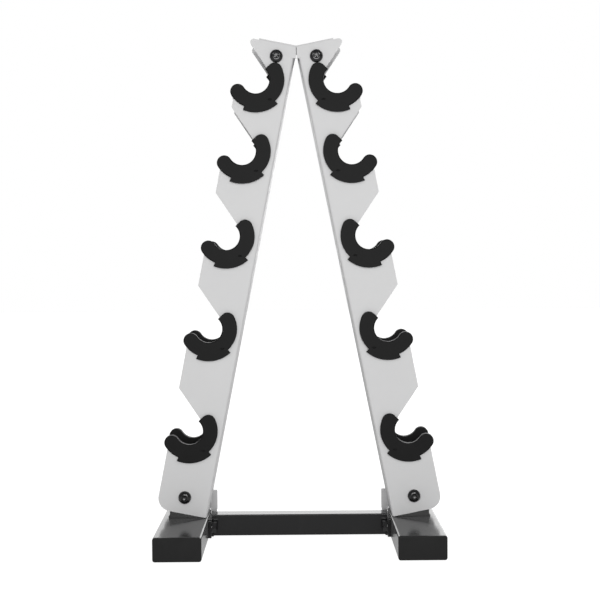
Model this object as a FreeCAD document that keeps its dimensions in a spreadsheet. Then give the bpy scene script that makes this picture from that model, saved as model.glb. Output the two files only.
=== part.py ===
"""Five-row dumbbell rack: two leaning hooked channels on two foot tubes, with a moulded pad in every hook.

Millimetres, +Z up. The origin is on the floor at the middle of the footprint. X runs from the left foot to
the right foot and Y from front to back. Each right-hand piece is modelled, and the left one mirrors it.
"""
import FreeCAD, Part
import os
import Sketcher

SIZES = {
    # foot tubes and their end caps
    "foot_length": 242.0,
    "foot_width": 60.0,
    "foot_height": 30.0,
    "foot_wall": 2.0,
    "foot_corner": 3.0,
    "foot_centre": 150.0,
    "cap_lip": 3.0,
    "cap_plug": 14.0,
    "cap_wall": 2.0,
    "cap_gap": 0.2,
    # leaning channels
    "channel_width": 66.7,
    "channel_depth": 55.0,
    "sheet": 2.0,
    "bend_radius": 3.0,
    "channel_inset": 2.0,
    "foot_gap": 0.3,
    "half_seam": 0.5,
    "web_cut": 14.7,
    "base_corner": 17.0,
    "tip_corner": 4.5,
    "peak_corner": 1.5,
    "ear_reach": 8.4,
    "ear_rise": 25.0,
    "ear_drop": 4.8,
    "ear_gap": 0.5,
    "ear_corner": 5.0,
    # rows of hooks, measured along the channel
    "hook_offset": 43.0,
    "first_row": 108.5,
    "pitch_low": 135.8,
    "pitch_second": 122.4,
    "pitch_third": 111.6,
    "pitch_top": 93.2,
    # moulded pads
    "pad_bore": 17.8,
    "pad_floor": 2.4,
    "pad_seat_gap": 0.3,
    "pad_side_gap": 0.15,
    "pad_arm": 19.3,
    "pad_cheek": 3.35,
    "sleeve_step": 4.9,
    "sleeve_start": 216.5,
    "sleeve_sweep": 65.3,
    "arm_start": 143.75,
    "arm_end": 315.75,
    "beak_sweep": 21.0,
    "beak_width": 6.2,
    "lip_round": 1.6,
    # long bolts through the channels
    "bolt": 10.0,
    "bolt_play": 0.3,
    "head_width": 16.8,
    "head_rise": 5.5,
    "head_round": 3.6,
    "socket_width": 6.0,
    "socket_depth": 3.2,
    "washer_width": 17.0,
    "washer_thick": 1.6,
    "nut_width": 16.0,
    "nut_thick": 10.0,
    "thread_gap": 0.05,
    "bolt_tail": 2.5,
    "top_bolt_inset": 22.5,
    "top_bolt_gap": 0.3,
    "top_bolt_drop": 16.5,
    "base_bolt_inset": 32.7,
    "base_bolt_rise": 21.4,
    # top connector
    "connector_sheet": 2.0,
    "connector_gap": 0.2,
    "connector_rise": 2.2,
    "connector_reach": 47.6,
    "connector_edge": 1.2,
    "web_gap": 1.0,
    # brackets on the feet
    "bracket_sheet": 3.0,
    "bracket_rise": 48.0,
    "bracket_margin": 10.0,
    "bracket_corner": 6.0,
    # crossbar with its end plates
    "bar_depth": 20.0,
    "bar_height": 28.0,
    "bar_wall": 1.5,
    "bar_corner": 1.2,
    "plate_thick": 4.0,
    "plate_depth": 50.0,
    "plate_height": 24.7,
    "plate_corner": 2.0,
    "bar_bolt": 8.0,
    "bar_bolt_spacing": 36.0,
    "bar_bolt_rise": 15.5,
    "bar_head_width": 13.0,
    "bar_head_rise": 5.3,
    "bar_washer_width": 14.0,
    "bar_nut_thick": 6.5,
    "bar_bolt_tail": 1.5,
}

# sizes that follow from the ones above
DERIVED = {
    "foot_inner": "Sizes.foot_centre - Sizes.foot_width / 2",
    "channel_x": "Derived.foot_inner + Sizes.channel_inset",
    "channel_z": "Sizes.foot_height + Sizes.foot_gap",
    "row_1": "Sizes.first_row",
    "row_2": "Derived.row_1 + Sizes.pitch_low",
    "row_3": "Derived.row_2 + Sizes.pitch_second",
    "row_4": "Derived.row_3 + Sizes.pitch_third",
    "row_5": "Derived.row_4 + Sizes.pitch_top",
    "arm_rise": "(Sizes.pad_bore + Sizes.pad_arm / 2) * sin(Sizes.arm_start * 1 deg) + Sizes.pad_arm / 2",
    "top_bolt_row": "Derived.row_5 + Derived.arm_rise + Sizes.top_bolt_gap + Sizes.head_width / 2",
    "channel_length": "Derived.top_bolt_row + Sizes.top_bolt_drop",
    "lean": "asin((Derived.channel_x - Sizes.half_seam) / Derived.channel_length) / 1 deg",
    "hook_radius": "Sizes.pad_bore + Sizes.pad_floor + Sizes.pad_seat_gap",
    "flange_y": "Sizes.channel_depth / 2 - Sizes.sheet / 2",
    "tube_length": "Sizes.foot_length - 2 * Sizes.cap_lip",
    "pad_width": "Sizes.sheet + 2 * Sizes.pad_side_gap + 2 * Sizes.pad_cheek",
    "pad_radius": "Sizes.pad_bore + Sizes.pad_arm",
    "plate_x": "Derived.foot_inner - Sizes.plate_thick",
}
ROWS = 5
MIRROR_X = FreeCAD.Vector(1, 0, 0)
MIRROR_Y = FreeCAD.Vector(0, 1, 0)

doc = FreeCAD.newDocument("dumbbell_rack")
pieces = []


# ---------------------------------------------------------------- sizes

def fill_sheet():
    """Write each driving size as a plain number with its own alias."""
    sheet = doc.addObject("Spreadsheet::Sheet", "Sizes")
    for line, (name, value) in enumerate(SIZES.items(), start=1):
        sheet.set(f"A{line}", name)
        sheet.set(f"B{line}", str(value))
        sheet.setAlias(f"B{line}", name)
    doc.recompute()
    return sheet


def fill_derived():
    """Hold the sizes that follow from the sheet, so that several pieces can share them."""
    derived = doc.addObject("App::VarSet", "Derived")
    for name, expression in DERIVED.items():
        derived.addProperty("App::PropertyFloat", name, "Derived")
        derived.setExpression(name, expression)
    doc.recompute()


def value_of(expression):
    """The number that an expression on the sheet gives."""
    result = sizes.evalExpression(expression)
    return float(getattr(result, "Value", result))


# ---------------------------------------------------------------- sketches and features

def keep(obj, label):
    """Note an object as one of the rack's pieces, under the name of its node."""
    obj.Label = label
    pieces.append(obj)
    return obj


def new_body(name):
    return doc.addObject("PartDesign::Body", name)


def new_sketch(body, name, plane, offset=None):
    """A sketch on one of the body's own origin planes, moved or turned by an expression."""
    sketch = body.newObject("Sketcher::SketchObject", name)
    support = [item for item in body.Origin.OriginFeatures if item.Role == plane][0]
    sketch.AttachmentSupport = [(support, "")]
    sketch.MapMode = "FlatFace"
    if offset:
        sketch.setExpression("AttachmentOffset", offset)
    return sketch


def add_polygon(sketch, points):
    """Add a closed outline whose corners are bound to pairs of expressions."""
    first = sketch.GeometryCount
    corners = [FreeCAD.Vector(value_of(x), value_of(y), 0) for x, y in points]
    count = len(corners)
    for index in range(count):
        sketch.addGeometry(Part.LineSegment(corners[index], corners[(index + 1) % count]), False)
    for index in range(count):
        following = first + (index + 1) % count
        sketch.addConstraint(Sketcher.Constraint("Coincident", first + index, 2, following, 1))
    for index, point in enumerate(points):
        for kind, expression in zip(("DistanceX", "DistanceY"), point):
            datum = value_of(expression)
            number = sketch.addConstraint(Sketcher.Constraint(kind, -1, 1, first + index, 1, datum))
            sketch.setExpression(f"Constraints[{number}]", expression)


def add_rectangle(sketch, low_x, low_y, high_x, high_y):
    add_polygon(sketch, [(low_x, low_y), (high_x, low_y), (high_x, high_y), (low_x, high_y)])


def add_circle(sketch, x, y, radius):
    """Add a circle whose middle and radius are bound to expressions."""
    middle = FreeCAD.Vector(value_of(x), value_of(y), 0)
    circle = sketch.addGeometry(Part.Circle(middle, FreeCAD.Vector(0, 0, 1), value_of(radius)), False)
    bindings = [
        (Sketcher.Constraint("DistanceX", -1, 1, circle, 3, middle.x), x),
        (Sketcher.Constraint("DistanceY", -1, 1, circle, 3, middle.y), y),
        (Sketcher.Constraint("Radius", circle, value_of(radius)), radius),
    ]
    for constraint, expression in bindings:
        number = sketch.addConstraint(constraint)
        sketch.setExpression(f"Constraints[{number}]", expression)


def pad(body, sketch, length, both_ways=True):
    feature = body.newObject("PartDesign::Pad", sketch.Name + "_pad")
    feature.Profile = sketch
    feature.Midplane = both_ways
    feature.setExpression("Length", length)
    doc.recompute()
    return feature


def pocket(body, sketch, length, both_ways=True, flip=False):
    """Cut a sketch out of the body, and stop if that takes nothing away."""
    before = body.Shape.Volume
    feature = body.newObject("PartDesign::Pocket", sketch.Name + "_pocket")
    feature.Profile = sketch
    feature.Midplane = both_ways
    feature.Reversed = flip
    feature.setExpression("Length", length)
    doc.recompute()
    if body.Shape.Volume > before - 1e-3:
        raise RuntimeError(feature.Name + " cuts nothing")
    return feature


def edge_names(shape, wanted):
    """The names of the edges whose middle and direction pass a test."""
    names = []
    for number, edge in enumerate(shape.Edges, start=1):
        middle = edge.valueAt((edge.FirstParameter + edge.LastParameter) / 2)
        direction = edge.tangentAt(edge.FirstParameter)
        if wanted(edge, middle, direction):
            names.append(f"Edge{number}")
    if not names:
        raise RuntimeError("no edge to round")
    return names


def fillet(body, name, radius, wanted):
    tip = body.Tip
    feature = body.newObject("PartDesign::Fillet", name)
    feature.Base = (tip, edge_names(tip.Shape, wanted))
    feature.setExpression("Radius", radius)
    body.Tip = feature
    doc.recompute()
    return feature


def near(first, second):
    return abs(first - second) < 1e-3


def mirror(source, label, normal):
    """A mirrored copy of a piece in the plane through the origin with this normal."""
    copy = doc.addObject("Part::Mirroring", label)
    copy.Source = source
    copy.Normal = normal
    return keep(copy, label)


def placed(x="0", y="0", z="0", yaw="0", pitch="0", roll="0"):
    """The expression of a placement."""
    shift = f"create(<<vector>>; {x}; {y}; {z})"
    turn = f"create(<<rotation>>; {yaw}; {pitch}; {roll})"
    return f"create(<<placement>>; {shift}; {turn})"


def place(obj, *spot, **turn):
    obj.setExpression("Placement", placed(*spot, **turn))


def along_channel(across, along):
    """X and Z of a point given across and along the right channel."""
    cosine = "cos(Derived.lean * 1 deg)"
    sine = "sin(Derived.lean * 1 deg)"
    x = f"(Derived.channel_x + ({across}) * {cosine} - ({along}) * {sine})"
    z = f"(Derived.channel_z + ({across}) * {sine} + ({along}) * {cosine})"
    return x, z


# ---------------------------------------------------------------- leaning channels

def cut_hooks(body):
    """Five round seats, each with a throat that opens up and outwards at 45 degrees."""
    seats = new_sketch(body, "hook_seats", "XZ_Plane")
    throats = new_sketch(body, "hook_throats", "XZ_Plane")
    edge = "(Sizes.channel_width + 1)"
    across = f"({edge} - Sizes.hook_offset)"
    side = "Derived.hook_radius * sqrt(0.5)"
    lip = "Sizes.pad_seat_gap * sqrt(2)"
    for row in range(1, ROWS + 1):
        middle = f"Derived.row_{row}"
        add_circle(seats, "Sizes.hook_offset", middle, "Derived.hook_radius")
        add_polygon(throats, [
            (edge, f"{middle} - {across} - {lip}"),
            ("Sizes.hook_offset", f"{middle} - {lip}"),
            (f"Sizes.hook_offset - {side}", f"{middle} + {side}"),
            (edge, f"{middle} + {across} + 2 * {side}"),
        ])
    pocket(body, seats, "2 * Sizes.channel_depth")
    pocket(body, throats, "2 * Sizes.channel_depth")


def add_ears(body):
    """Flat ears on the flanges: one at the front one's top, and one at the rear one's foot.

    The foot ear hangs a little below the channel's end, just clear of the foot tube's side.
    """
    reach = ("(Derived.channel_x - Sizes.half_seam - ({0}) * sin(Derived.lean * 1 deg))"
             " / cos(Derived.lean * 1 deg)")
    low = "(Derived.channel_length - Sizes.web_cut)"
    high = "Derived.channel_length"
    seam = new_sketch(body, "seam_ear", "XZ_Plane", placed(z="Derived.flange_y"))
    add_polygon(seam, [
        ("Sizes.bend_radius + 1", low),
        ("-" + reach.format(low), low),
        ("-" + reach.format(high), high),
        ("Sizes.bend_radius + 1", high),
    ])
    pad(body, seam, "Sizes.sheet")
    upright = placed(z="-Derived.flange_y", yaw="-Derived.lean")
    foot_ear = new_sketch(body, "foot_ear", "XZ_Plane", upright)
    end, beside_foot = "-Sizes.channel_inset - Sizes.ear_reach", "-Sizes.channel_inset - Sizes.ear_gap"
    add_polygon(foot_ear, [
        (end, "-Sizes.ear_drop"),
        (beside_foot, "-Sizes.ear_drop"),
        (beside_foot, "0"),
        ("Sizes.bend_radius + 1", "0"),
        ("Sizes.bend_radius + 1", "Sizes.ear_rise"),
        (end, "Sizes.ear_rise"),
    ])
    pad(body, foot_ear, "Sizes.sheet")


def drill_bolt_holes(body):
    holes = new_sketch(body, "bolt_holes", "XZ_Plane")
    radius = "Sizes.bolt / 2 + Sizes.bolt_play"
    add_circle(holes, "Sizes.top_bolt_inset", "Derived.top_bolt_row", radius)
    add_circle(holes, "Sizes.base_bolt_inset", "Sizes.base_bolt_rise", radius)
    pocket(body, holes, "2 * Sizes.channel_depth")


def round_channel(body):
    """Round the outer bottom corner, the top tip, the hook peaks and the ear."""
    width = SIZES["channel_width"]
    length = value_of("Derived.channel_length")
    ear_foot = value_of("-(Sizes.channel_inset + Sizes.ear_reach) * cos(Derived.lean * 1 deg)"
                        " - Sizes.ear_drop * sin(Derived.lean * 1 deg)")

    def crosses(direction):
        return abs(direction.y) > 0.99

    fillet(body, "base_corner", "Sizes.base_corner",
           lambda e, m, d: crosses(d) and near(m.x, width) and near(m.z, 0))
    fillet(body, "tip_corner", "Sizes.tip_corner",
           lambda e, m, d: crosses(d) and near(m.z, length) and m.x > width / 2)
    fillet(body, "peak_corners", "Sizes.peak_corner",
           lambda e, m, d: crosses(d) and near(m.x, width) and is_peak(m.z))
    fillet(body, "ear_corner", "Sizes.ear_corner",
           lambda e, m, d: crosses(d) and near(m.x, ear_foot) and m.z < SIZES["ear_rise"] / 2)


def is_peak(height):
    """Whether a height along the channel is that of a hook's upper outer corner."""
    rise = value_of("Sizes.channel_width - Sizes.hook_offset + 2 * Derived.hook_radius * sqrt(0.5)")
    return any(near(height, value_of(f"Derived.row_{row}") + rise) for row in range(1, ROWS))


def bend_channel(body):
    """The plain channel before it is cut: a web at X = 0, two flanges and the round bends between them."""
    outline = new_sketch(body, "channel_outline", "XZ_Plane")
    add_rectangle(outline, "0", "0", "Sizes.channel_width", "Derived.channel_length")
    pad(body, outline, "Sizes.channel_depth")
    fillet(body, "outer_bends", "Sizes.bend_radius",
           lambda e, m, d: abs(d.z) > 0.99 and near(m.x, 0))
    hollow = new_sketch(body, "channel_hollow", "XZ_Plane")
    add_rectangle(hollow, "Sizes.sheet", "-1", "Sizes.channel_width + 1", "Derived.channel_length + 1")
    pocket(body, hollow, "Sizes.channel_depth - 2 * Sizes.sheet")
    fillet(body, "inner_bends", "Sizes.bend_radius - Sizes.sheet",
           lambda e, m, d: abs(d.z) > 0.99 and near(m.x, SIZES["sheet"]))


def make_channels():
    """The right channel is a web and two hooked flanges bent from one sheet. The left one mirrors it."""
    body = new_body("right_channel")
    bend_channel(body)
    cut_hooks(body)
    web_top = new_sketch(body, "web_top", "XZ_Plane")
    add_rectangle(web_top, "-1", "Derived.channel_length - Sizes.web_cut",
                  "Sizes.sheet + 1", "Derived.channel_length + 1")
    pocket(body, web_top, "Sizes.channel_depth - 2 * Sizes.sheet")
    add_ears(body)
    drill_bolt_holes(body)
    round_channel(body)
    place(body, "Derived.channel_x", "0", "Derived.channel_z", pitch="-Derived.lean")
    keep(body, "right_upright")
    mirror(body, "left_upright", MIRROR_X)


# ---------------------------------------------------------------- moulded pads

def cylinder(name, radius, height, angle="360", start="0", x="0", y="0"):
    """A round or a sector about Z, centred on the middle plane."""
    solid = doc.addObject("Part::Cylinder", name)
    solid.setExpression("Radius", radius)
    solid.setExpression("Height", height)
    solid.setExpression("Angle", angle)
    place(solid, x, y, f"-({height}) / 2", start)
    return solid


def block(name, length, width, height, x, y, z, yaw="0"):
    solid = doc.addObject("Part::Box", name)
    solid.setExpression("Length", length)
    solid.setExpression("Width", width)
    solid.setExpression("Height", height)
    place(solid, x, y, z, yaw=yaw)
    return solid


def fuse(name, shapes):
    union = doc.addObject("Part::MultiFuse", name)
    union.Shapes = shapes
    return union


def cut(name, base, tool):
    remainder = doc.addObject("Part::Cut", name)
    remainder.Base = base
    remainder.Tool = tool
    return remainder


def pad_blank():
    """The pad's outline as a solid: a sleeve and a long arm, with one round end and one hooked end."""
    width = "Derived.pad_width"
    end_radius = "Sizes.pad_arm / 2"
    end_ring = "(Sizes.pad_bore + Sizes.pad_arm / 2)"
    parts = [
        cylinder("pad_arm", "Derived.pad_radius", width,
                 "Sizes.arm_end - Sizes.arm_start", "Sizes.arm_start"),
        cylinder("pad_sleeve", "Derived.pad_radius + Sizes.sleeve_step", width,
                 "Sizes.sleeve_sweep", "Sizes.sleeve_start"),
        cylinder("pad_beak", "Sizes.pad_bore + Sizes.beak_width", width,
                 "Sizes.beak_sweep", "Sizes.arm_start - Sizes.beak_sweep"),
    ]
    for name, angle in (("pad_hooked_end", "Sizes.arm_start"), ("pad_round_end", "Sizes.arm_end")):
        parts.append(cylinder(name, end_radius, width,
                              x=f"{end_ring} * cos({angle} * 1 deg)", y=f"{end_ring} * sin({angle} * 1 deg)"))
    bore = cylinder("pad_bore", "Sizes.pad_bore", f"2 * {width}")
    return cut("pad_blank", fuse("pad_outline", parts), bore)


def pad_groove():
    """The groove that slides over the sheet: a slab without the pad's floor and its closed round end."""
    thick = "(Sizes.sheet + 2 * Sizes.pad_side_gap)"
    floor = "(Sizes.pad_bore + Sizes.pad_floor)"
    reach = "(3 * Derived.pad_radius)"
    slab = cylinder("groove_slab", "2 * Derived.pad_radius", thick)
    floor_round = cylinder("groove_floor", floor, f"2 * {thick}")
    throat = block("groove_throat", reach, f"{reach} + {floor}", f"2 * {thick}",
                   f"{reach} * sqrt(0.5)", f"-{reach} * sqrt(0.5)", f"-{thick}", yaw="45")
    return cut("groove", slab, fuse("groove_core", [floor_round, throat]))


def round_pad(blank):
    """Round the two lips of the seat, where a handle slides in."""
    half = value_of("Derived.pad_width") / 2
    bore = SIZES["pad_bore"]
    rounded = doc.addObject("Part::Fillet", "pad_rounded")
    rounded.Base = blank
    lips = []
    for number, edge in enumerate(blank.Shape.Edges, start=1):
        middle = edge.valueAt((edge.FirstParameter + edge.LastParameter) / 2)
        on_bore = near(edge.Vertexes[0].Point.x ** 2 + edge.Vertexes[0].Point.y ** 2, bore ** 2)
        if near(abs(middle.z), half) and on_bore and near(middle.x ** 2 + middle.y ** 2, bore ** 2):
            lips.append((number, SIZES["lip_round"], SIZES["lip_round"]))
    rounded.Edges = lips
    doc.recompute()
    return rounded


def make_pads():
    """One moulding in its own frame, placed in the front and rear hooks of both channels."""
    blank = pad_blank()
    groove = pad_groove()
    doc.recompute()
    rounded = round_pad(blank)
    moulding = cut("pad_moulding", rounded, groove)
    doc.recompute()
    for side, sign, yaw in (("right", "", "0"), ("left", "-", "180")):
        for face, flange in (("front", "-Derived.flange_y"), ("rear", "Derived.flange_y")):
            for row in range(1, ROWS + 1):
                label = f"{side}_{face}_pad_{row}"
                link = doc.addObject("App::Link", label)
                link.LinkedObject = moulding
                x, z = along_channel("Sizes.hook_offset", f"Derived.row_{row}")
                place(link, sign + x, flange, z, yaw, "-Derived.lean", "90")
                keep(link, label)


# ---------------------------------------------------------------- feet

def make_tube(name, plane, low, high, width, length, corner, wall):
    """A rectangular tube with rounded corners, its section on one origin plane and centred along it."""
    body = new_body(name)
    section = new_sketch(body, name + "_section", plane)
    add_rectangle(section, f"-({width}) / 2", low, f"({width}) / 2", high)
    pad(body, section, length)
    axis = "x" if plane == "YZ_Plane" else "y"
    fillet(body, name + "_corners", corner, lambda e, m, d: abs(getattr(d, axis)) > 0.99)
    bore = new_sketch(body, name + "_bore", plane)
    add_rectangle(bore, f"-({width}) / 2 + {wall}", f"{low} + {wall}",
                  f"({width}) / 2 - {wall}", f"{high} - {wall}")
    pocket(body, bore, f"2 * ({length})")
    return body


def make_feet():
    """Foot tubes along Y, drilled through the inner side for the crossbar's bolts."""
    body = make_tube("foot", "XZ_Plane", "0", "Sizes.foot_height", "Sizes.foot_width",
                     "Derived.tube_length", "Sizes.foot_corner", "Sizes.foot_wall")
    holes = new_sketch(body, "foot_holes", "YZ_Plane", placed(z="-Sizes.foot_width / 2"))
    for sign in ("-", ""):
        add_circle(holes, f"{sign}Sizes.bar_bolt_spacing / 2", "Sizes.bar_bolt_rise",
                   "Sizes.bar_bolt / 2 + Sizes.bolt_play")
    pocket(body, holes, "4 * Sizes.foot_wall")
    place(body, "Sizes.foot_centre", "0", "0")
    keep(body, "right_foot_tube")
    mirror(body, "left_foot_tube", MIRROR_X)


def make_caps():
    """A cap closes each tube end: a lip as large as the tube and a hollow plug inside it."""
    body = new_body("cap")
    mouth = placed(z="Derived.tube_length / 2")
    lip = new_sketch(body, "cap_lip", "XZ_Plane", mouth)
    add_rectangle(lip, "-Sizes.foot_width / 2", "0", "Sizes.foot_width / 2", "Sizes.foot_height")
    pad(body, lip, "Sizes.cap_lip", both_ways=False)
    fillet(body, "cap_corners", "Sizes.foot_corner", lambda e, m, d: abs(d.y) > 0.99)
    face = value_of("-Sizes.foot_length / 2")
    fillet(body, "cap_rim", "Sizes.cap_lip / 3", lambda e, m, d: near(m.y, face))
    inset = "(Sizes.foot_wall + Sizes.cap_gap)"
    plug = new_sketch(body, "cap_plug", "XZ_Plane", mouth)
    add_rectangle(plug, f"-Sizes.foot_width / 2 + {inset}", inset,
                  f"Sizes.foot_width / 2 - {inset}", f"Sizes.foot_height - {inset}")
    plug_pad = pad(body, plug, "Sizes.cap_plug", both_ways=False)
    plug_pad.Reversed = True
    hollow = new_sketch(body, "cap_hollow", "XZ_Plane", mouth)
    inner = f"({inset} + Sizes.cap_wall)"
    add_rectangle(hollow, f"-Sizes.foot_width / 2 + {inner}", inner,
                  f"Sizes.foot_width / 2 - {inner}", f"Sizes.foot_height - {inner}")
    pocket(body, hollow, "Sizes.cap_plug + 1", both_ways=False)
    place(body, "Sizes.foot_centre", "0", "0")
    front = keep(body, "right_front_end_cap")
    rear = mirror(front, "right_rear_end_cap", MIRROR_Y)
    mirror(front, "left_front_end_cap", MIRROR_X)
    mirror(rear, "left_rear_end_cap", MIRROR_X)


def make_foot_brackets():
    """A bracket on each foot: a base on the tube and two walls that stand inside the channel."""
    body = new_body("foot_bracket")
    low = "Sizes.foot_height"
    high = "(Sizes.foot_height + Sizes.bracket_rise)"
    near_x = "(Derived.channel_x + Sizes.sheet / cos(Derived.lean * 1 deg) + Sizes.web_gap)"
    far_x = "(Sizes.foot_centre + Sizes.foot_width / 2 - Sizes.bracket_margin)"
    depth = "(Sizes.channel_depth - 2 * Sizes.sheet - 2 * Sizes.connector_gap)"
    side = new_sketch(body, "bracket_side", "XZ_Plane")
    add_rectangle(side, near_x, low, far_x, high)
    pad(body, side, depth)
    hollow = new_sketch(body, "bracket_hollow", "XZ_Plane")
    add_rectangle(hollow, f"{near_x} - 1", f"{low} + Sizes.bracket_sheet", f"{far_x} + 1", f"{high} + 1")
    pocket(body, hollow, f"{depth} - 2 * Sizes.bracket_sheet")
    hole = new_sketch(body, "bracket_hole", "XZ_Plane")
    x, z = along_channel("Sizes.base_bolt_inset", "Sizes.base_bolt_rise")
    add_circle(hole, x, z, "Sizes.bolt / 2 + Sizes.bolt_play")
    pocket(body, hole, "2 * Sizes.channel_depth")
    top = value_of(high)
    fillet(body, "bracket_corners", "Sizes.bracket_corner",
           lambda e, m, d: abs(d.y) > 0.99 and near(m.z, top))
    keep(body, "right_foot_bracket")
    mirror(body, "left_foot_bracket", MIRROR_X)


# ---------------------------------------------------------------- top connector

def make_connector():
    """A bent cap over both tops. Each limb has two walls that the top bolts pass through.

    The walls' lower outer corners are cut along the top hooks' throats, just inside them.
    """
    body = new_body("connector")
    turned = placed("Derived.channel_x", "Derived.channel_z", yaw="Derived.lean")
    top = "(Derived.channel_length + Sizes.connector_rise)"
    ceiling = f"({top} - Sizes.connector_sheet)"
    middle = "(-Derived.channel_x / cos(Derived.lean * 1 deg) + ({0}) * tan(Derived.lean * 1 deg))"
    end = f"({middle.format(top)} + Sizes.connector_reach / cos(Derived.lean * 1 deg))"
    inside = "(Sizes.sheet + Sizes.web_gap)"
    foot = "(Derived.top_bolt_row - Sizes.bolt / 2 - Sizes.bolt_play - Sizes.connector_edge)"
    throat = "(Derived.row_5 - Sizes.hook_offset + 2 * Derived.hook_radius * sqrt(0.5))"
    limb = new_sketch(body, "connector_limb", "XZ_Plane", turned)
    add_polygon(limb, [
        (middle.format(ceiling), ceiling),
        (inside, ceiling),
        (inside, foot),
        (f"{foot} - {throat} - Sizes.web_gap", foot),
        (end, f"{end} + {throat} + Sizes.web_gap"),
        (end, top),
        (middle.format(top), top),
    ])
    depth = "(Sizes.channel_depth - 2 * Sizes.sheet - 2 * Sizes.connector_gap)"
    limb_pad = pad(body, limb, depth)
    hollow = new_sketch(body, "connector_hollow", "XZ_Plane", turned)
    add_polygon(hollow, [
        (middle.format(f"{foot} - 1"), f"{foot} - 1"),
        (f"{end} + 1", f"{foot} - 1"),
        (f"{end} + 1", ceiling),
        (middle.format(ceiling), ceiling),
    ])
    limb_hollow = pocket(body, hollow, f"{depth} - 2 * Sizes.connector_sheet")
    hole = new_sketch(body, "connector_hole", "XZ_Plane", turned)
    add_circle(hole, "Sizes.top_bolt_inset", "Derived.top_bolt_row", "Sizes.bolt / 2 + Sizes.bolt_play")
    limb_hole = pocket(body, hole, "2 * Sizes.channel_depth")
    both = body.newObject("PartDesign::Mirrored", "connector_mirrored")
    both.Originals = [limb_pad, limb_hollow, limb_hole]
    plane = [item for item in body.Origin.OriginFeatures if item.Role == "YZ_Plane"][0]
    both.MirrorPlane = (plane, [""])
    body.Tip = both
    doc.recompute()
    keep(body, "top_connector")


# ---------------------------------------------------------------- crossbar

def make_crossbar():
    """The bar between the feet, and a plate on each end of it that lies against the foot tube.

    The bar is flush with the tops of the feet, and the plates stop below their rounded edges.
    """
    top = "Sizes.foot_height"
    plate_top = "(Sizes.foot_height - Sizes.foot_corner)"
    bar = make_tube("crossbar", "YZ_Plane", f"{top} - Sizes.bar_height", top, "Sizes.bar_depth",
                    "2 * Derived.plate_x", "Sizes.bar_corner", "Sizes.bar_wall")
    keep(bar, "crossbar_tube")
    body = new_body("end_plate")
    bar_end = placed(z="Derived.plate_x")
    plate = new_sketch(body, "plate_outline", "YZ_Plane", bar_end)
    add_rectangle(plate, "-Sizes.plate_depth / 2", f"{plate_top} - Sizes.plate_height",
                  "Sizes.plate_depth / 2", plate_top)
    pad(body, plate, "Sizes.plate_thick", both_ways=False)
    fillet(body, "plate_corners", "Sizes.plate_corner", lambda e, m, d: abs(d.x) > 0.99)
    holes = new_sketch(body, "plate_holes", "YZ_Plane", bar_end)
    for sign in ("-", ""):
        add_circle(holes, f"{sign}Sizes.bar_bolt_spacing / 2", "Sizes.bar_bolt_rise",
                   "Sizes.bar_bolt / 2 + Sizes.bolt_play")
    pocket(body, holes, "4 * Sizes.plate_thick")
    keep(body, "right_end_plate")
    mirror(body, "left_end_plate", MIRROR_X)


# ---------------------------------------------------------------- fasteners

def prism(name, across_flats, height, x="0", y="0", z="0"):
    """A hexagonal prism about Z, given its width across the flats."""
    solid = doc.addObject("Part::Prism", name)
    solid.Polygon = 6
    solid.setExpression("Circumradius", f"({across_flats}) / sqrt(3)")
    solid.setExpression("Height", height)
    place(solid, x, y, z)
    return solid


def disc(name, radius, height, z):
    """A plain round about Z from one height up."""
    solid = doc.addObject("Part::Cylinder", name)
    solid.setExpression("Radius", radius)
    solid.setExpression("Height", height)
    place(solid, "0", "0", z)
    return solid


def link_to(source, label):
    link = doc.addObject("App::Link", label)
    link.LinkedObject = source
    return link


def long_bolt():
    """A button-head bolt about Z, head up, whose shank ends past the washer and nut."""
    grip = "(Sizes.channel_depth + Sizes.washer_thick + Sizes.nut_thick + Sizes.bolt_tail)"
    shank = disc("bolt_shank", "Sizes.bolt / 2", grip, f"-{grip}")
    head = disc("bolt_head", "Sizes.head_width / 2", "Sizes.head_rise", "0")
    doc.recompute()
    dome = doc.addObject("Part::Fillet", "bolt_dome")
    dome.Base = head
    rise = SIZES["head_rise"]
    rim = [number for number, edge in enumerate(head.Shape.Edges, start=1)
           if near(edge.CenterOfMass.z, rise) and len(edge.Vertexes) == 1]
    dome.Edges = [(number, SIZES["head_round"], SIZES["head_round"]) for number in rim]
    socket = prism("bolt_socket", "Sizes.socket_width", "2 * Sizes.socket_depth",
                   z="Sizes.head_rise - Sizes.socket_depth")
    return cut("long_bolt", fuse("bolt_body", [shank, dome]), socket)


def ring(name, outside, inside, height, z):
    """A washer about Z that lies below a height."""
    return cut(name, disc(name + "_disc", outside, height, z),
               disc(name + "_hole", inside, f"3 * ({height})", f"{z} - ({height})"))


def hex_nut(name, across_flats, inside, height, z):
    return cut(name, prism(name + "_prism", across_flats, height, z=z),
               disc(name + "_hole", inside, f"3 * ({height})", f"{z} - ({height})"))


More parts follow.
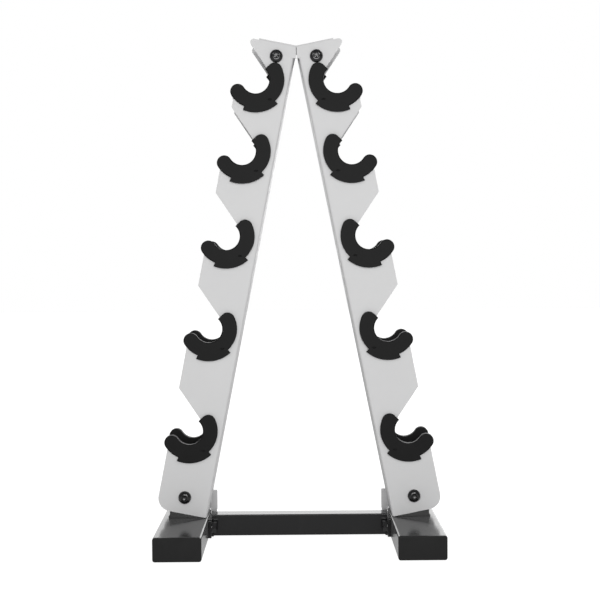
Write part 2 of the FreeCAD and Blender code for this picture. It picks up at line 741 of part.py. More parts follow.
def make_long_fasteners():
    """Four long bolts from front to back, with a washer and a lock nut behind each."""
    bolt = long_bolt()
    washer = ring("washer", "Sizes.washer_width / 2", "Sizes.bolt / 2 + Sizes.bolt_play",
                  "Sizes.washer_thick", "-Sizes.channel_depth - Sizes.washer_thick")
    nut = hex_nut("nut", "Sizes.nut_width", "Sizes.bolt / 2 + Sizes.thread_gap", "Sizes.nut_thick",
                  "-Sizes.channel_depth - Sizes.washer_thick - Sizes.nut_thick")
    washers = []
    nuts = []
    for level, across, along in (("top", "Sizes.top_bolt_inset", "Derived.top_bolt_row"),
                                 ("base", "Sizes.base_bolt_inset", "Sizes.base_bolt_rise")):
        x, z = along_channel(across, along)
        for side, sign in (("left", "-"), ("right", "")):
            spot = (sign + x, "-Sizes.channel_depth / 2", z)
            screw = keep(link_to(bolt, f"{side}_{level}_bolt"), f"{side}_{level}_bolt")
            washers.append(link_to(washer, f"{side}_{level}_washer"))
            nuts.append(link_to(nut, f"{side}_{level}_nut"))
            for item in (screw, washers[-1], nuts[-1]):
                place(item, *spot, roll="90")
    group("upright_washers", washers)
    group("upright_lock_nuts", nuts)


def group(label, members):
    """Identical fasteners share one piece as a compound of separate solids."""
    compound = doc.addObject("Part::Compound", label)
    compound.Links = members
    keep(compound, label)


def make_bar_fasteners():
    """Two hexagon bolts through each end plate, with washers, into weld nuts inside the foot tube."""
    grip = ("(Sizes.washer_thick + Sizes.plate_thick + Sizes.foot_wall + Sizes.bar_nut_thick"
            " + Sizes.bar_bolt_tail)")
    bolt = fuse("bar_bolt", [disc("bar_shank", "Sizes.bar_bolt / 2", grip, f"-{grip}"),
                             prism("bar_head", "Sizes.bar_head_width", "Sizes.bar_head_rise")])
    washer = ring("bar_washer", "Sizes.bar_washer_width / 2", "Sizes.bar_bolt / 2 + Sizes.bolt_play",
                  "Sizes.washer_thick", "-Sizes.washer_thick")
    nut = hex_nut("bar_nut", "Sizes.bar_head_width", "Sizes.bar_bolt / 2 + Sizes.thread_gap",
                  "Sizes.bar_nut_thick",
                  "-Sizes.washer_thick - Sizes.plate_thick - Sizes.foot_wall - Sizes.bar_nut_thick")
    sets = {"crossbar_bolts": (bolt, []), "crossbar_washers": (washer, []), "foot_weld_nuts": (nut, [])}
    for side, sign, yaw in (("left", "-", "180"), ("right", "", "0")):
        for face, way in (("front", "-"), ("rear", "")):
            for label, (source, members) in sets.items():
                item = link_to(source, f"{label}_{side}_{face}")
                place(item, f"{sign}(Derived.plate_x - Sizes.washer_thick)",
                      f"{way}Sizes.bar_bolt_spacing / 2", "Sizes.bar_bolt_rise", yaw=yaw, pitch="-90")
                members.append(item)
    for label, (source, members) in sets.items():
        group(label, members)


# ---------------------------------------------------------------- check and write

def check_and_write():
    """Stop on any failed object or bad shape, then write one STEP file for each piece."""
    doc.recompute()
    for obj in doc.Objects:
        if any(state in ("Invalid", "Error") for state in obj.State):
            raise RuntimeError(f"{obj.Name} failed: {obj.State}")
    shapes = {piece.Label: Part.getShape(piece) for piece in pieces}
    for label, shape in shapes.items():
        if shape.isNull() or not shape.isValid():
            raise RuntimeError(label + " has no valid shape")
    os.makedirs("parts", exist_ok=True)
    for label, shape in shapes.items():
        shape.exportStep(f"parts/{label}.step")
        print(f"{label}: {len(shape.Solids)} solid, {shape.Volume:.0f} mm3")
    print(len(shapes), "pieces")


sizes = fill_sheet()
fill_derived()
make_channels()
make_connector()
make_feet()
make_caps()
make_foot_brackets()
make_crossbar()
make_pads()
make_long_fasteners()
make_bar_fasteners()
check_and_write()
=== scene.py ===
import math

import bmesh
import bpy
from mathutils import Matrix, Vector


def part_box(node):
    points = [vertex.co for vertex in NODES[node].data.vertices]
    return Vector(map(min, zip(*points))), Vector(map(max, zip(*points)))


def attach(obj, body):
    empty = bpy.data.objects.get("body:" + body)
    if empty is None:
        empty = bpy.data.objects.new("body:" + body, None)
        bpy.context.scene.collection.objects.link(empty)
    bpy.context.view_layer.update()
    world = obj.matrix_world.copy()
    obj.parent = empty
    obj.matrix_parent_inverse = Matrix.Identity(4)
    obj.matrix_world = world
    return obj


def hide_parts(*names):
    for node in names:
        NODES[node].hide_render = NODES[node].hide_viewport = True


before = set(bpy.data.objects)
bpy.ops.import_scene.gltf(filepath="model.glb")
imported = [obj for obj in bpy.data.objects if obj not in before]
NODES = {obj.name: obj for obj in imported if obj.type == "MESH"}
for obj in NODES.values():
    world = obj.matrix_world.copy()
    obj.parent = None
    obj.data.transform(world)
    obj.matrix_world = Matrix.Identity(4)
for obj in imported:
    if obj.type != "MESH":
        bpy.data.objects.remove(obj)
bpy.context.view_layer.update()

MM = 0.001
SIDES = ("right", "left")
FACES = ("front", "rear")
ROWS = 5


# ---------------------------------------------------------------- places taken from the frame

def centre(node):
    low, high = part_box(node)
    return (low + high) / 2


def lean_angle():
    """How far the right upright leans inwards, from its lowest and highest pads."""
    rise = centre("right_front_pad_5") - centre("right_front_pad_1")
    return math.atan2(-rise.x, rise.z)


LEAN = lean_angle()


# ---------------------------------------------------------------- camera, light and floor

CAMERA_PLACE = (-0.00203, -1.3323, 0.3652)
CAMERA_DEGREES = (-0.202, 2.201, -0.407)        # yaw, pitch downwards and roll
LENS, SENSOR = 60.34, 36.0

# name, place, target, width and height, watts
LAMPS = (
    ("front_softbox", (0.05, -2.4, 0.5), (0, 0, 0.3), (1.3, 0.8), 24),
    ("overhead_softbox", (0.9, 1.3, 1.5), (0, 0, 0.1), (1.2, 0.8), 12),
    ("right_key_lamp", (0.5, -1.8, 1.25), (0, 0, 0.4), (0.18, 0.18), 5),
    ("left_key_lamp", (-0.5, -1.8, 1.25), (0, 0, 0.4), (0.18, 0.18), 4),
)

ROOM_LIGHT = 0.28
PANEL_LIGHT = 2.6
PANEL_DIRECTION = (0.3, 0.93, 0.12)
PANEL_EDGE, PANEL_CORE = 0.6, 0.98              # cosines of the angle from the panel's middle
BACKDROP_SEEN = 1.0

FLOOR_REACH = 6.0
PAPER_COLOUR = (0.25, 0.25, 0.25, 1)
PAPER_SEEN, PAPER_LIGHT = 0.95, 0.5


def add_camera():
    """The camera stands in front of the rack, a little above its middle, and looks slightly down."""
    yaw, pitch, roll = (math.radians(angle) for angle in CAMERA_DEGREES)
    data = bpy.data.cameras.new("camera")
    data.lens = LENS
    data.sensor_width = SENSOR
    camera = bpy.data.objects.new("camera", data)
    bpy.context.scene.collection.objects.link(camera)
    turn = Matrix.Rotation(yaw, 3, "Z")
    ahead = turn @ Vector((0, math.cos(pitch), -math.sin(pitch)))
    across = turn @ Vector((1, 0, 0))
    above = across.cross(ahead)
    right = math.cos(roll) * across + math.sin(roll) * above
    up = -math.sin(roll) * across + math.cos(roll) * above
    axes = Matrix((right, up, -ahead)).transposed().to_4x4()
    camera.matrix_world = Matrix.Translation(CAMERA_PLACE) @ axes
    bpy.context.scene.camera = camera


def add_softbox(name, place, target, size, power):
    """A rectangular lamp that faces a target."""
    data = bpy.data.lights.new(name, "AREA")
    data.shape = "RECTANGLE"
    data.size, data.size_y = size
    data.energy = power
    lamp = bpy.data.objects.new(name, data)
    bpy.context.scene.collection.objects.link(lamp)
    direction = Vector(target) - Vector(place)
    lamp.matrix_world = Matrix.Translation(place) @ direction.to_track_quat("-Z", "Y").to_matrix().to_4x4()


def seen_as(tree, socket, plain, lighting):
    """A strength that is one number where the camera sees it and another where it lights the rack."""
    path = tree.nodes.new("ShaderNodeLightPath")
    choose = tree.nodes.new("ShaderNodeMix")
    factor, to_rack, to_camera = choose.inputs[0], choose.inputs[2], choose.inputs[3]
    tree.links.new(path.outputs["Is Camera Ray"], factor)
    if isinstance(lighting, bpy.types.NodeSocket):
        tree.links.new(lighting, to_rack)
    else:
        to_rack.default_value = lighting
    to_camera.default_value = plain
    tree.links.new(choose.outputs[0], socket)


def add_world():
    """A studio room with a bright panel behind the rack, which the camera sees as a plain white backdrop."""
    world = bpy.data.worlds.new("studio")
    bpy.context.scene.world = world
    world.use_nodes = True
    nodes, links = world.node_tree.nodes, world.node_tree.links
    coordinates = nodes.new("ShaderNodeTexCoord")
    towards = nodes.new("ShaderNodeVectorMath")
    towards.operation = "DOT_PRODUCT"
    towards.inputs[1].default_value = Vector(PANEL_DIRECTION).normalized()
    links.new(coordinates.outputs["Generated"], towards.inputs[0])
    level = nodes.new("ShaderNodeMapRange")
    level.interpolation_type = "SMOOTHSTEP"
    level.inputs["From Min"].default_value = PANEL_EDGE
    level.inputs["From Max"].default_value = PANEL_CORE
    level.inputs["To Min"].default_value = ROOM_LIGHT
    level.inputs["To Max"].default_value = PANEL_LIGHT
    links.new(towards.outputs["Value"], level.inputs["Value"])
    background = nodes["Background"]
    background.inputs["Color"].default_value = (1, 1, 1, 1)
    seen_as(world.node_tree, background.inputs["Strength"], BACKDROP_SEEN, level.outputs["Result"])


def add_floor():
    """A plain pale sheet of paper under the rack."""
    form = bmesh.new()
    bmesh.ops.create_grid(form, x_segments=1, y_segments=1, size=FLOOR_REACH)
    mesh = bpy.data.meshes.new("floor")
    form.to_mesh(mesh)
    form.free()
    floor = bpy.data.objects.new("floor", mesh)
    bpy.context.scene.collection.objects.link(floor)
    material = bpy.data.materials.new("studio_paper")
    material.use_nodes = True
    shader = material.node_tree.nodes["Principled BSDF"]
    shader.inputs["Base Color"].default_value = PAPER_COLOUR
    shader.inputs["Roughness"].default_value = 0.9
    shader.inputs["Specular IOR Level"].default_value = 0.1
    shader.inputs["Emission Color"].default_value = (1, 1, 1, 1)
    seen_as(material.node_tree, shader.inputs["Emission Strength"], PAPER_SEEN, PAPER_LIGHT)
    mesh.materials.append(material)


# ---------------------------------------------------------------- shared shader groups

def new_group(name, inputs, outputs):
    """An empty node group with named sockets, each given as a name, a type and a value."""
    group = bpy.data.node_groups.new(name, "ShaderNodeTree")
    for label, kind, value in inputs:
        socket = group.interface.new_socket(name=label, in_out="INPUT", socket_type=kind)
        socket.default_value = value
    for label, kind in outputs:
        group.interface.new_socket(name=label, in_out="OUTPUT", socket_type=kind)
    return group, group.nodes.new("NodeGroupInput"), group.nodes.new("NodeGroupOutput")


def orange_peel():
    """The fine rolling skin of baked powder: a height and a slow drift of tone."""
    group, given, result = new_group(
        "orange_peel",
        [("Scale", "NodeSocketFloat", 1400.0), ("Drift", "NodeSocketFloat", 18.0)],
        [("Height", "NodeSocketFloat"), ("Tone", "NodeSocketFloat")])
    nodes, links = group.nodes, group.links
    place = nodes.new("ShaderNodeTexCoord")
    peel = nodes.new("ShaderNodeTexNoise")
    peel.inputs["Detail"].default_value = 2.5
    peel.inputs["Roughness"].default_value = 0.45
    links.new(place.outputs["Object"], peel.inputs["Vector"])
    links.new(given.outputs["Scale"], peel.inputs["Scale"])
    links.new(peel.outputs["Fac"], result.inputs["Height"])
    drift = nodes.new("ShaderNodeTexNoise")
    drift.inputs["Detail"].default_value = 3.0
    links.new(place.outputs["Object"], drift.inputs["Vector"])
    links.new(given.outputs["Drift"], drift.inputs["Scale"])
    links.new(drift.outputs["Fac"], result.inputs["Tone"])
    return group


def moulded_grain():
    """The pitted grain that a sparked mould leaves on plastic, with faint flow marks."""
    group, given, result = new_group(
        "moulded_grain",
        [("Scale", "NodeSocketFloat", 1800.0), ("Flow", "NodeSocketFloat", 90.0)],
        [("Height", "NodeSocketFloat"), ("Tone", "NodeSocketFloat")])
    nodes, links = group.nodes, group.links
    place = nodes.new("ShaderNodeTexCoord")
    pits = nodes.new("ShaderNodeTexVoronoi")
    pits.feature = "SMOOTH_F1"
    links.new(place.outputs["Object"], pits.inputs["Vector"])
    links.new(given.outputs["Scale"], pits.inputs["Scale"])
    links.new(pits.outputs["Distance"], result.inputs["Height"])
    flow = nodes.new("ShaderNodeTexNoise")
    flow.inputs["Detail"].default_value = 4.0
    flow.inputs["Distortion"].default_value = 0.6
    links.new(place.outputs["Object"], flow.inputs["Vector"])
    links.new(given.outputs["Flow"], flow.inputs["Scale"])
    links.new(flow.outputs["Fac"], result.inputs["Tone"])
    return group


def scuff():
    """Sparse short rubs, as handling leaves on a finish: a mask from 0 to 1."""
    group, given, result = new_group(
        "scuff",
        [("Scale", "NodeSocketFloat", 60.0), ("Amount", "NodeSocketFloat", 0.3)],
        [("Mask", "NodeSocketFloat")])
    nodes, links = group.nodes, group.links
    place = nodes.new("ShaderNodeTexCoord")
    stretch = nodes.new("ShaderNodeMapping")
    stretch.inputs["Scale"].default_value = (1.0, 1.0, 0.22)
    stretch.inputs["Rotation"].default_value = (0.0, 0.35, 0.0)
    links.new(place.outputs["Object"], stretch.inputs["Vector"])
    rubs = nodes.new("ShaderNodeTexNoise")
    rubs.inputs["Detail"].default_value = 6.0
    links.new(stretch.outputs["Vector"], rubs.inputs["Vector"])
    links.new(given.outputs["Scale"], rubs.inputs["Scale"])
    gate = nodes.new("ShaderNodeMapRange")
    gate.inputs["From Min"].default_value = 0.6
    gate.inputs["From Max"].default_value = 0.78
    links.new(rubs.outputs["Fac"], gate.inputs["Value"])
    weigh = nodes.new("ShaderNodeMath")
    weigh.operation = "MULTIPLY"
    links.new(gate.outputs["Result"], weigh.inputs[0])
    links.new(given.outputs["Amount"], weigh.inputs[1])
    links.new(weigh.outputs[0], result.inputs["Mask"])
    return group


PEEL = orange_peel()
GRAIN = moulded_grain()
SCUFF = scuff()


# ---------------------------------------------------------------- materials

class Finish:
    """One material: the Principled shader, and short ways to feed it."""

    def __init__(self, name, specular=0.5, metallic=0.0):
        self.material = bpy.data.materials.new(name)
        self.material.use_nodes = True
        self.nodes = self.material.node_tree.nodes
        self.links = self.material.node_tree.links
        self.shader = self.nodes["Principled BSDF"]
        self.shader.inputs["Specular IOR Level"].default_value = specular
        self.shader.inputs["Metallic"].default_value = metallic

    def group(self, tree, **values):
        node = self.nodes.new("ShaderNodeGroup")
        node.node_tree = tree
        for name, value in values.items():
            node.inputs[name].default_value = value
        return node

    def spread(self, source, low, high):
        """A value from 0 to 1 spread between two ends."""
        node = self.nodes.new("ShaderNodeMapRange")
        node.inputs["To Min"].default_value = low
        node.inputs["To Max"].default_value = high
        self.links.new(source, node.inputs["Value"])
        return node.outputs["Result"]

    def blend(self, factor, first, second):
        """A colour between two, given as greys or colours."""
        node = self.nodes.new("ShaderNodeMix")
        node.data_type = "RGBA"
        self.links.new(factor, node.inputs["Factor"])
        for socket, value in ((node.inputs[6], first), (node.inputs[7], second)):
            if isinstance(value, bpy.types.NodeSocket):
                self.links.new(value, socket)
            else:
                socket.default_value = (*value, 1)
        return node.outputs[2]

    def add(self, first, second):
        node = self.nodes.new("ShaderNodeMath")
        node.operation = "ADD"
        self.links.new(first, node.inputs[0])
        self.links.new(second, node.inputs[1])
        return node.outputs[0]

    def feed(self, socket, source):
        self.links.new(source, self.shader.inputs[socket])

    def bump(self, height, strength, distance):
        node = self.nodes.new("ShaderNodeBump")
        node.inputs["Strength"].default_value = strength
        node.inputs["Distance"].default_value = distance
        self.links.new(height, node.inputs["Height"])
        self.feed("Normal", node.outputs["Normal"])


def powder_coat(name, texture, scuffs, dark, light, rubbed, gloss, relief, specular, rub_roughness=0.0,
                sheen=(0.0, 0.5)):
    """Baked powder on steel: a slow drift of tone, sparse rubs and a fine rolling skin."""
    finish = Finish(name, specular=specular)
    sheen_weight, sheen_roughness = sheen
    finish.shader.inputs["Sheen Weight"].default_value = sheen_weight
    finish.shader.inputs["Sheen Roughness"].default_value = sheen_roughness
    peel = finish.group(PEEL, **texture)
    rubs = finish.group(SCUFF, **scuffs)
    tone = finish.blend(peel.outputs["Tone"], dark, light)
    finish.feed("Base Color", finish.blend(rubs.outputs["Mask"], tone, rubbed))
    roughness = finish.spread(peel.outputs["Tone"], *gloss)
    if rub_roughness:
        roughness = finish.add(roughness, finish.spread(rubs.outputs["Mask"], 0.0, rub_roughness))
    finish.feed("Roughness", roughness)
    finish.bump(peel.outputs["Height"], *relief)
    return finish.material


def plain_finish(name, pattern, texture, dark, light, gloss, relief, specular=0.5, metallic=0.0):
    """A finish whose tone, gloss and relief all follow one pattern."""
    finish = Finish(name, specular=specular, metallic=metallic)
    grain = finish.group(pattern, **texture)
    finish.feed("Base Color", finish.blend(grain.outputs["Tone"], dark, light))
    finish.feed("Roughness", finish.spread(grain.outputs["Tone"], *gloss))
    finish.bump(grain.outputs["Height"], *relief)
    return finish.material


# gloss is the least and greatest roughness, relief is the bump's strength and depth,
# sheen is its weight and roughness
SILVER = powder_coat(
    "silver_powder_coat", {"Scale": 1500.0, "Drift": 14.0}, {"Scale": 70.0, "Amount": 0.25},
    dark=(0.545, 0.545, 0.548), light=(0.595, 0.595, 0.597), rubbed=(0.55, 0.55, 0.55),
    gloss=(0.42, 0.56), relief=(0.25, 0.06 * MM), specular=0.35)
BLACK = powder_coat(
    "black_powder_coat", {"Scale": 1100.0, "Drift": 20.0}, {"Scale": 55.0, "Amount": 0.35},
    dark=(0.003, 0.003, 0.0034), light=(0.007, 0.007, 0.0074), rubbed=(0.02, 0.02, 0.02),
    gloss=(0.13, 0.2), relief=(0.2, 0.05 * MM), specular=0.36, rub_roughness=0.12, sheen=(0.06, 0.35))
PAD = plain_finish(
    "pad_plastic", GRAIN, {"Scale": 2200.0, "Flow": 120.0}, dark=(0.006, 0.006, 0.006),
    light=(0.0105, 0.0105, 0.0105), gloss=(0.42, 0.55), relief=(0.35, 0.05 * MM), specular=0.09)
CAP = plain_finish(
    "cap_plastic", GRAIN, {"Scale": 1500.0, "Flow": 60.0}, dark=(0.006, 0.006, 0.006),
    light=(0.011, 0.011, 0.011), gloss=(0.38, 0.5), relief=(0.3, 0.05 * MM), specular=0.18)
ZINC = plain_finish(
    "black_zinc_steel", PEEL, {"Scale": 2500.0, "Drift": 260.0}, dark=(0.003, 0.003, 0.0035),
    light=(0.007, 0.007, 0.0075), gloss=(0.12, 0.22), relief=(0.12, 0.03 * MM), specular=0.5)
STEEL = plain_finish(
    "plain_steel", PEEL, {"Scale": 900.0, "Drift": 150.0}, dark=(0.42, 0.42, 0.43),
    light=(0.56, 0.56, 0.57), gloss=(0.3, 0.5), relief=(0.2, 0.04 * MM), metallic=1.0)
NYLON = plain_finish(
    "insert_nylon", GRAIN, {"Scale": 1200.0, "Flow": 150.0}, dark=(0.55, 0.55, 0.5),
    light=(0.66, 0.66, 0.6), gloss=(0.4, 0.55), relief=(0.2, 0.04 * MM), specular=0.4)


# ---------------------------------------------------------------- pieces

SHADED_SHARP = math.radians(32.0)
BEVELLED = math.radians(30.0)
LEVEL_WITHIN = math.radians(0.6)
JOINED_WITHIN = 0.002 * MM
ON_FACE_WITHIN = 0.01 * MM
CUT_EDGE_STEPS = 2
MOULDED_EDGE_STEPS = 4


def mark_sharp(form):
    """Smooth faces, with the edges past an angle kept sharp."""
    for face in form.faces:
        face.smooth = True
    for edge in form.edges:
        edge.smooth = len(edge.link_faces) == 2 and edge.calc_face_angle(0.0) < SHADED_SHARP


def finish_piece(form, name, material, slot, *nodes):
    """Turn a bmesh into a named piece that rides on the rack and stands for its nodes."""
    mesh = bpy.data.meshes.new(name)
    mark_sharp(form)
    form.to_mesh(mesh)
    form.free()
    mesh.materials.append(material)
    piece = bpy.data.objects.new(name, mesh)
    bpy.context.scene.collection.objects.link(piece)
    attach(piece, "root")
    if nodes:
        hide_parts(*nodes)
    return piece


def merged_copy(node):
    """A copy of a node's mesh, with its loose triangles joined and flat faces made whole."""
    form = bmesh.new()
    form.from_mesh(NODES[node].data)
    bmesh.ops.remove_doubles(form, verts=form.verts, dist=JOINED_WITHIN)
    bmesh.ops.dissolve_limit(form, angle_limit=LEVEL_WITHIN, verts=form.verts, edges=form.edges)
    return form


def sharp_edges(form):
    return [edge for edge in form.edges
            if len(edge.link_faces) == 2 and edge.calc_face_angle(0.0) > BEVELLED]


def round_over(form, edges, radius, segments):
    bmesh.ops.bevel(form, geom=edges, offset=radius, offset_type="OFFSET", segments=segments,
                    profile=0.5, affect="EDGES", clamp_overlap=True, material=-1)


def eased(node, name, material, slot, radius):
    """A coated or moulded piece whose edges are eased."""
    form = merged_copy(node)
    round_over(form, sharp_edges(form), radius, CUT_EDGE_STEPS)
    harden(finish_piece(form, name, material, slot, node))


def harden(piece):
    """Flat faces shade flat beside their eased edges."""
    weighted = piece.modifiers.new("flat_faces", "WEIGHTED_NORMAL")
    weighted.keep_sharp = True
    weighted.weight = 50


def make_sheet_metal():
    for side in SIDES:
        eased(f"{side}_upright", f"{side}_channel", SILVER, "silver_powder_coat", 0.3 * MM)
        eased(f"{side}_foot_bracket", f"{side}_bracket", BLACK, "black_powder_coat", 0.4 * MM)
        eased(f"{side}_foot_tube", f"{side}_foot", BLACK, "black_powder_coat", 0.25 * MM)
        eased(f"{side}_end_plate", f"{side}_bar_plate", BLACK, "black_powder_coat", 0.5 * MM)
        for face in FACES:
            eased(f"{side}_{face}_end_cap", f"{side}_{face}_cap", CAP, "cap_plastic", 0.3 * MM)
    eased("top_connector", "peak_connector", SILVER, "silver_powder_coat", 0.3 * MM)
    eased("crossbar_tube", "crossbar", BLACK, "black_powder_coat", 0.25 * MM)


def carved(form, tool, operation):
    """A form with a tool taken out of it, or kept only where the two meet. Both are used up."""
    parts = []
    for half in (form, tool):
        mesh = bpy.data.meshes.new("half")
        half.to_mesh(mesh)
        half.free()
        parts.append(bpy.data.objects.new("half", mesh))
        bpy.context.scene.collection.objects.link(parts[-1])
    carve = parts[0].modifiers.new("carve", "BOOLEAN")
    carve.operation = operation
    carve.object = parts[1]
    carve.solver = "EXACT"
    bpy.context.view_layer.update()
    graph = bpy.context.evaluated_depsgraph_get()
    mesh = bpy.data.meshes.new_from_object(parts[0].evaluated_get(graph))
    result = bmesh.new()
    result.from_mesh(mesh)
    for part in parts:
        bpy.data.objects.remove(part)
    return result


def join(target, form):
    """Add one form to another, and use it up."""
    mesh = bpy.data.meshes.new("joined")
    form.to_mesh(mesh)
    form.free()
    target.from_mesh(mesh)
    bpy.data.meshes.remove(mesh)


def moved(form, matrix):
    bmesh.ops.transform(form, matrix=matrix, verts=form.verts)
    return form


# ---------------------------------------------------------------- moulded pads

ARM_OUTSIDE = 37.1 * MM
SLEEVE_OUTSIDE = 42.0 * MM
CORNER_RADIUS = 2.2 * MM
RIM_RADIUS = 1.5 * MM
STRAIGHT = 0.99                                 # cosine of the most that a straight edge leans
MARK_REACH = 31.4 * MM
MARK_ANGLE = math.radians(223.75)
MARK_SIZE = (2.7 * MM, 1.1 * MM, 1.25 * MM)     # half its length, depth and height


def bore_centre(node):
    """The middle of a right-hand pad's bore, from the outsides of its round arm and sleeve."""
    low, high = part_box(node)
    return Vector((low.x + ARM_OUTSIDE, (low.y + high.y) / 2, low.z + SLEEVE_OUTSIDE))


def press_marks(form, node):
    """A small oval press mark sunk into each face of the arm."""
    low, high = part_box(node)
    angle = MARK_ANGLE + LEAN
    spot = bore_centre(node) + Vector((MARK_REACH * math.cos(angle), 0, MARK_REACH * math.sin(angle)))
    for y in (low.y, high.y):
        mark = bmesh.new()
        bmesh.ops.create_uvsphere(mark, u_segments=24, v_segments=12, radius=1.0)
        moved(mark, Matrix.Translation((spot.x, y, spot.z)) @ Matrix.Diagonal((*MARK_SIZE, 1)))
        form = carved(form, mark, "DIFFERENCE")
    return form


def axial(edge):
    """Whether an edge runs straight through the pad, from one face towards the other."""
    along = (edge.verts[1].co - edge.verts[0].co).normalized()
    return abs(along.y) > STRAIGHT


def moulded_pad(node):
    """The moulding with its corners eased, its rims rolled over and a press mark in each face."""
    form = merged_copy(node)
    low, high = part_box(node)
    corners = [edge for edge in sharp_edges(form) if axial(edge)]
    round_over(form, corners, CORNER_RADIUS, MOULDED_EDGE_STEPS)
    rims = [edge for edge in sharp_edges(form)
            if all(min(abs(v.co.y - low.y), abs(v.co.y - high.y)) < ON_FACE_WITHIN for v in edge.verts)]
    round_over(form, rims, RIM_RADIUS, MOULDED_EDGE_STEPS)
    return press_marks(form, node)


def make_pads():
    """Every pad is the same moulding: the left ones are turned half round."""
    master_node = "right_front_pad_1"
    form = moulded_pad(master_node)
    master = bpy.data.meshes.new("pad_moulding")
    form.to_mesh(master)
    form.free()
    for side, turn in (("right", 0.0), ("left", math.pi)):
        for face in FACES:
            for row in range(1, ROWS + 1):
                node = f"{side}_{face}_pad_{row}"
                copy = bmesh.new()
                copy.from_mesh(master)
                spin = Matrix.Rotation(turn, 4, "Z") @ Matrix.Translation(-centre(master_node))
                moved(copy, Matrix.Translation(centre(node)) @ spin)
                harden(finish_piece(copy, f"{side}_{face}_cradle_{row}", PAD, "pad_plastic", node))
    bpy.data.meshes.remove(master)


# ---------------------------------------------------------------- fasteners

def turned_form(profile, segments=48):
    """A form turned about Z from a profile of radius and height, bottom to top, on or off the axis."""
    form = bmesh.new()
    points = [form.verts.new((radius, 0, height)) for radius, height in profile]
    edges = [form.edges.new(pair) for pair in zip(points, points[1:])]
    bmesh.ops.spin(form, geom=points + edges, cent=(0, 0, 0), axis=(0, 0, 1), dvec=(0, 0, 0),
                   angle=2 * math.pi, steps=segments, use_merge=True, use_duplicate=False)
    bmesh.ops.remove_doubles(form, verts=form.verts, dist=0.001 * MM)
    bmesh.ops.recalc_face_normals(form, faces=form.faces)
    return form


def arc(middle, radius, start, end, count):
    """Points of an arc in a profile, by angle from the radial direction."""
    angles = [math.radians(start + (end - start) * step / count) for step in range(count + 1)]
    return [(middle[0] + radius * math.cos(a), middle[1] + radius * math.sin(a)) for a in angles]


def hexagon(across_flats, low, high):
    form = bmesh.new()
    radius = across_flats / math.sqrt(3)
    bmesh.ops.create_cone(form, cap_ends=True, segments=6, radius1=radius, radius2=radius, depth=high - low)
    return moved(form, Matrix.Translation((0, 0, (high + low) / 2)))


def thread(radius, depth, pitch, low, high):
    """A screw ridge that winds up a shank from one height to another, its foot sunk in the shank."""
    form = bmesh.new()
    per_turn, sunk = 24, 0.05 * MM
    crest_start, crest_end, tooth_end = 0.42, 0.5, 0.92     # as shares of the pitch
    turns = (high - low - pitch) / pitch
    steps = int(turns * per_turn)
    foot = radius - depth - sunk
    tooth = [(foot, 0), (radius, crest_start * pitch), (radius, crest_end * pitch), (foot, tooth_end * pitch)]
    points = [form.verts.new((r, 0, low + z)) for r, z in tooth]
    face = form.faces.new(points)
    bmesh.ops.spin(form, geom=[face], cent=(0, 0, 0), axis=(0, 0, 1), dvec=(0, 0, turns * pitch / steps),
                   angle=turns * 2 * math.pi, steps=steps, use_merge=False, use_duplicate=False)
    bmesh.ops.recalc_face_normals(form, faces=form.faces)
    return form


def button_head(head, rise):
    """A domed head about Z from zero up, with a funnelled hexagon socket and the drill's point under it."""
    lip, shoulder, shoulder_height, crown_flat = 0.3 * MM, 4.6 * MM, 0.9 * MM, 3.9 * MM
    crown = arc((head - shoulder, shoulder_height), shoulder, 0, 78, 10)
    form = turned_form([(0, 0), (head - lip, 0), (head, lip)] + crown + [(crown_flat, rise), (0, rise)])
    throat, mouth, funnel_depth, proud = 2.9 * MM, 4.1 * MM, 0.9 * MM, 0.3 * MM
    funnel = turned_form([(0, rise - funnel_depth), (throat, rise - funnel_depth), (mouth, rise + proud),
                          (0, rise + proud)])
    form = carved(form, funnel, "DIFFERENCE")
    socket_flats, socket_depth = 6.0 * MM, 3.6 * MM
    form = carved(form, hexagon(socket_flats, rise - socket_depth, rise), "DIFFERENCE")
    drill_radius, drill_depth, drill_top = 2.7 * MM, 4.9 * MM, 3.5 * MM
    drill_point = turned_form([(0, rise - drill_depth), (drill_radius, rise - drill_top),
                               (0, rise - drill_top)], 24)
    return carved(form, drill_point, "DIFFERENCE")


def button_bolt(radius, head, rise, length):
    """A button-head bolt about Z with its head up from zero and a threaded tail."""
    form = button_head(head, rise)
    thread_depth, pitch, threaded = 0.8 * MM, 1.5 * MM, 26 * MM
    chamfer, run_out, sunk, thread_start = 0.8 * MM, 1 * MM, 0.2 * MM, 0.4 * MM
    root = radius - thread_depth
    join(form, turned_form([(0, -length), (root - chamfer, -length), (root, -length + chamfer),
                            (root, -length + threaded), (radius, -length + threaded + run_out),
                            (radius, sunk), (0, sunk)]))
    join(form, thread(radius, thread_depth, pitch, -length + thread_start, -length + threaded))
    return form


def chamfered_hexagon(across_flats, low, high, both=True):
    """A hexagon whose corners are turned down to a cone at its faces."""
    corner = across_flats / math.sqrt(3)
    flat = across_flats / 2
    margin, extra_drop, cone = 0.2 * MM, 0.15 * MM, math.radians(30)
    drop = (corner - flat) * math.tan(cone) + extra_drop
    if both:
        foot = [(0, low), (flat - margin, low), (corner + margin, low + drop)]
    else:
        foot = [(0, low), (corner + margin, low)]
    envelope = turned_form(foot + [(corner + margin, high - drop), (flat - margin, high), (0, high)])
    return carved(hexagon(across_flats, low, high), envelope, "INTERSECT")


